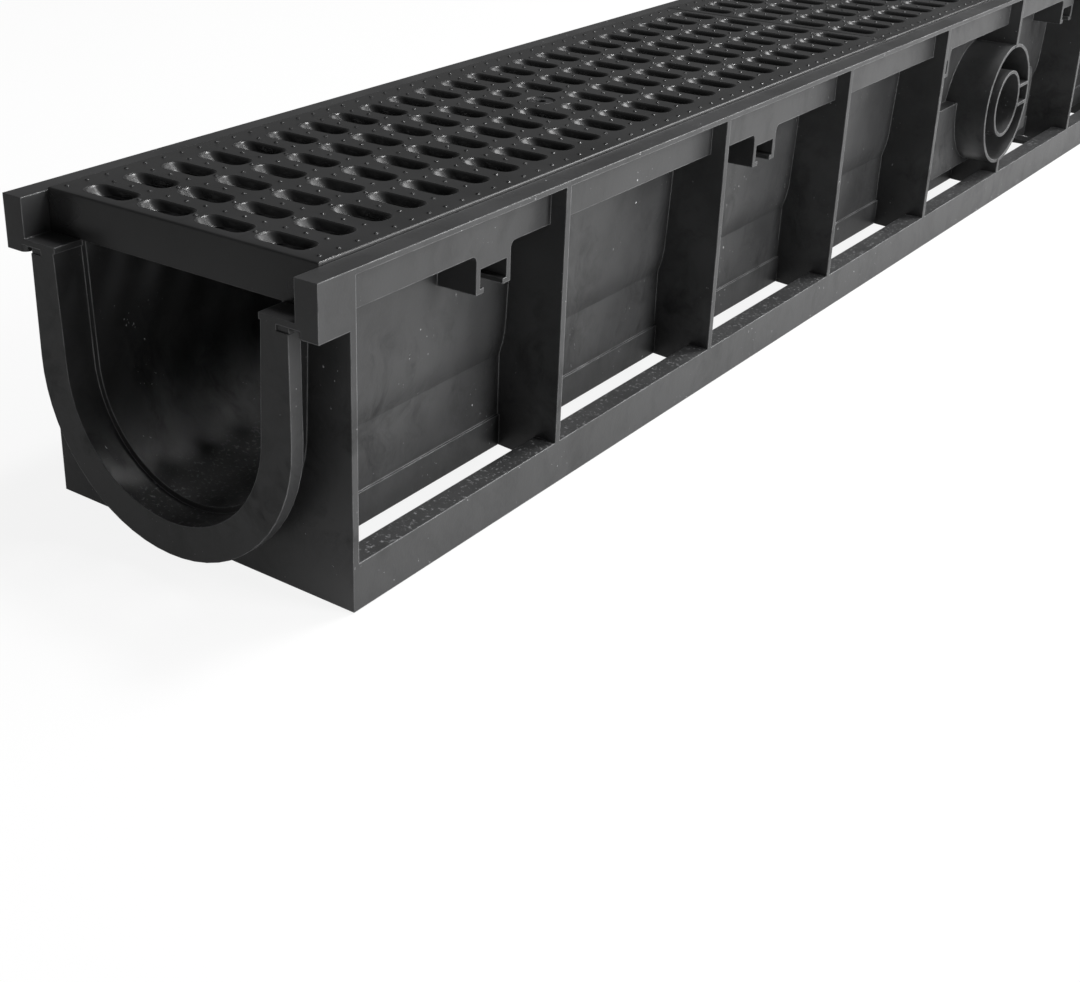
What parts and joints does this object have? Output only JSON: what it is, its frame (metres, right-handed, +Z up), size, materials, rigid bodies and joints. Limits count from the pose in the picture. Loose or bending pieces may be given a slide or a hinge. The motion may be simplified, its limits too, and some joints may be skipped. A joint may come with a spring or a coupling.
{
  "type": "channel drain",
  "caption": "Straight plastic drainage channel with a half-round trough, ribbed sides, base rails, a side pipe outlet and slotted top gratings.",
  "frame": {"origin": "centre of the base, in the plane that the rails stand on", "axes": "+Z up, +Y along the channel from the socket end to the spigot end, +X towards the side outlet"},
  "size_m": [0.165, 1, 0.14],
  "materials": {
    "black_plastic": "satin moulded polypropylene, charcoal black",
    "grating_plastic": "satin moulded plastic, black",
    "steel": "dull zinc-plated steel"
  },
  "bodies": {
    "root": {"channel_body": "black_plastic", "grating_front": "grating_plastic", "grating_rear": "grating_plastic", "locking_bar_front": "steel", "locking_bar_rear": "steel", "fixing_screw_front": "steel", "fixing_screw_rear": "steel"}
  },
  "joints": []
}
